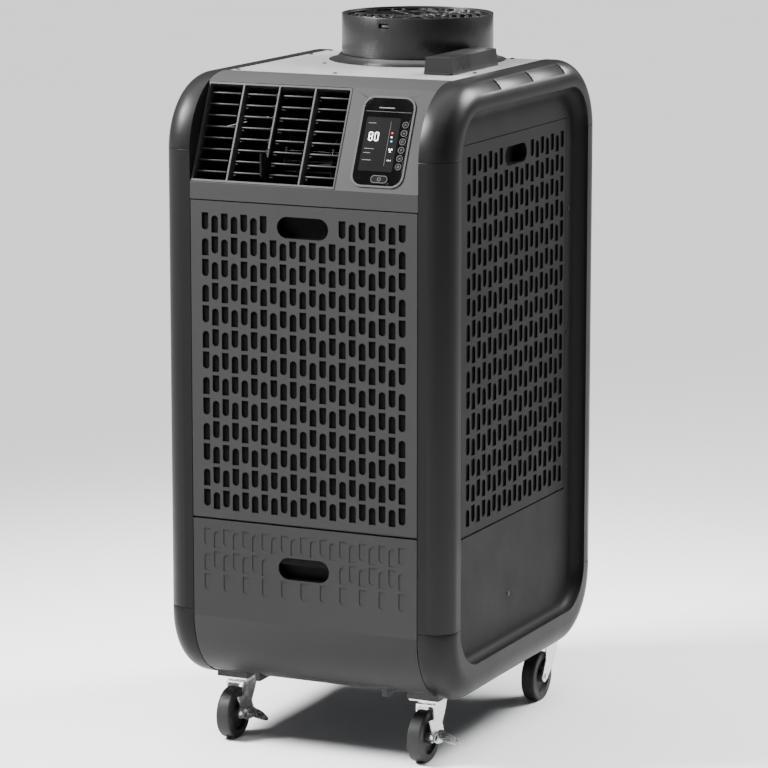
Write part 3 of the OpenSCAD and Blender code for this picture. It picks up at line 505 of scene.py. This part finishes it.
for k in range(6):
    name = f"button_{k + 1}"
    x, v = centre_on_facet(name)
    icons = (
        [bar(x - 2, v - 1, x, v + 1.3, 0.6), bar(x, v + 1.3, x + 2, v - 1, 0.6)],
        [bar(x - 2, v + 1, x, v - 1.3, 0.6), bar(x, v - 1.3, x + 2, v + 1, 0.6)],
        [arc(x, v, 2.0, 0.6, 30, 330)],
        [bar(x, v - 2, x, v + 2, 0.6), bar(x - 1.8, v, x + 1.8, v, 0.6)],
        [bar(x - 2, v + 1, x + 2, v + 1, 0.6), bar(x - 2, v - 1, x + 2, v - 1, 0.6)],
        [ring(disc(x, v, 2.2), disc(x, v, 1.6)), bar(x, v, x, v + 1.4, 0.5)],
    )[k]
    rim = ring(disc(x, v, 6.2), disc(x, v, 5.6))
    marks(f"{name}_print", [rim, *icons], front_of(name), name, "button_plastic", soft)

low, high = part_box("power_button")
x, v = centre_on_facet("power_button")
half = (high[0] - low[0]) / 2 / MM - 1.2
rim = ring(
    rectangle(x - half, v - 7, x + half, v + 7, 6.9, 10),
    rectangle(x - half + 0.7, v - 6.3, x + half - 0.7, v + 6.3, 6.2, 10),
)
icon = [arc(x, v, 3.2, 0.8, 125, 415), bar(x, v + 0.6, x, v + 4.2, 0.8)]
power_front = front_of("power_button")
marks("power_print", [rim, *icon], power_front, "power_button", "button_plastic", soft)

SIDES = 12  # of a nose strip's round section
END = 0.55  # a strip's ends are drawn in to this share


def lit_edge_strips(k):
    """Rounded lips on one blade's front edge, one in each bay between upright bars, paler than the
    blade as a painted highlight where the edge catches the light.
    """
    vertices = nodes[f"louvre_blade_{k}"].data.vertices
    reach = [((v.co - ORIGIN).dot(OUT) / MM, (v.co - ORIGIN).dot(UP) / MM) for v in vertices]
    front = max(n for n, _ in reach)
    tips = [v for n, v in reach if n > front - 0.3]
    middle = (min(tips) + max(tips)) / 2
    low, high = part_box("louvre_frame")
    bay = (high[0] - low[0]) / 4 / MM
    angles = [2 * math.pi * i / SIDES for i in range(SIDES)]
    section = [(1.1 * math.cos(a), 1.5 * math.sin(a)) for a in angles]
    build = bmesh.new()
    for b in range(4):
        x0 = low[0] / MM + b * bay
        stations = (
            (x0 + 6.5, END), (x0 + 7.5, 1.0), (x0 + bay - 8.5, 1.0), (x0 + bay - 7.5, END)
        )
        loops = [
            [
                build.verts.new(FACET @ (Vector((x, middle + v * size, front + n * size)) * MM))
                for n, v in section
            ]
            for x, size in stations
        ]
        for a, c in zip(loops, loops[1:]):
            for i in range(SIDES):
                j = (i + 1) % SIDES
                build.faces.new((a[i], a[j], c[j], c[i]))
        build.faces.new(list(reversed(loops[0])))
        build.faces.new(loops[-1])
    # painted highlight: the paler frame plastic on the dark blades' front edges
    highlight_finish = materials["louvre_plastic"]
    piece(f"blade_{k}_nose", build, highlight_finish, f"blade_{k}", smooth=True)


for k in range(1, 9):
    lit_edge_strips(k)

# ------------------------------------------------------------------ stage, light, camera


def floor():
    """Plain pale floor, reaching past every view."""
    mesh = bpy.data.meshes.new("floor")
    size = 30
    corners = [(-size, -size, 0), (size, -size, 0), (size, size, 0), (-size, size, 0)]
    mesh.from_pydata(corners, [], [(0, 1, 2, 3)])
    obj = place("floor", mesh)
    s = Shader("floor_paint", Specular_IOR_Level=0.2)
    s.colour(s.mix(s.noise(0.8, 3.0), (0.80, 0.80, 0.80), (0.83, 0.83, 0.83)))
    s.bsdf.inputs["Roughness"].default_value = 0.7
    mesh.materials.append(s.material)


def softbox(name, spot, aim, size, power):
    """Rectangular area light at spot, turned to aim."""
    light = bpy.data.lights.new(name, "AREA")
    light.shape = "RECTANGLE"
    light.size, light.size_y = size
    light.energy = power
    light.spread = math.radians(80)
    obj = place(name, light)
    obj.location = spot
    obj.rotation_euler = (Vector(aim) - spot).to_track_quat("-Z", "Y").to_euler()


def around(azimuth, elevation, distance, centre):
    """Point seen from centre at that azimuth (from -Y towards +X) and elevation, in degrees."""
    a, e = math.radians(azimuth), math.radians(elevation)
    flat = math.cos(e)
    way = Vector((math.sin(a) * flat, -math.cos(a) * flat, math.sin(e)))
    return Vector(centre) + distance * way


floor()
softbox("key", around(-62, 38, 3.2, (0, -0.37, 1.3)), (0, -0.37, 1.25), (1.2, 1.2), 165)
softbox("side", around(148, 34, 3.2, (0.3, 0, 1.25)), (0.3, 0, 1.2), (1.2, 1.4), 75)
sky = bpy.data.lights.new("sky", "SUN")
sky.energy = 5.0
sky.angle = math.radians(70)
place("sky", sky).location = (0, 0, 6)
world = bpy.data.worlds.new("studio")
world.use_nodes = True
background = world.node_tree.nodes["Background"]
background.inputs["Color"].default_value = (0.85, 0.9, 1.0, 1)
background.inputs["Strength"].default_value = 0.08
bpy.context.scene.world = world

CAMERA_PLACE = (3.0988, -6.6726, 2.0508)
CAMERA_AZIMUTH = 24.94
CAMERA_ELEVATION = 10.59
camera = place("camera", bpy.data.cameras.new("camera"))
camera.data.lens = 177.6
camera.data.sensor_width = 36
camera.location = CAMERA_PLACE
camera.rotation_euler = (
    math.radians(90 - CAMERA_ELEVATION), 0, math.radians(CAMERA_AZIMUTH)
)
bpy.context.scene.camera = camera
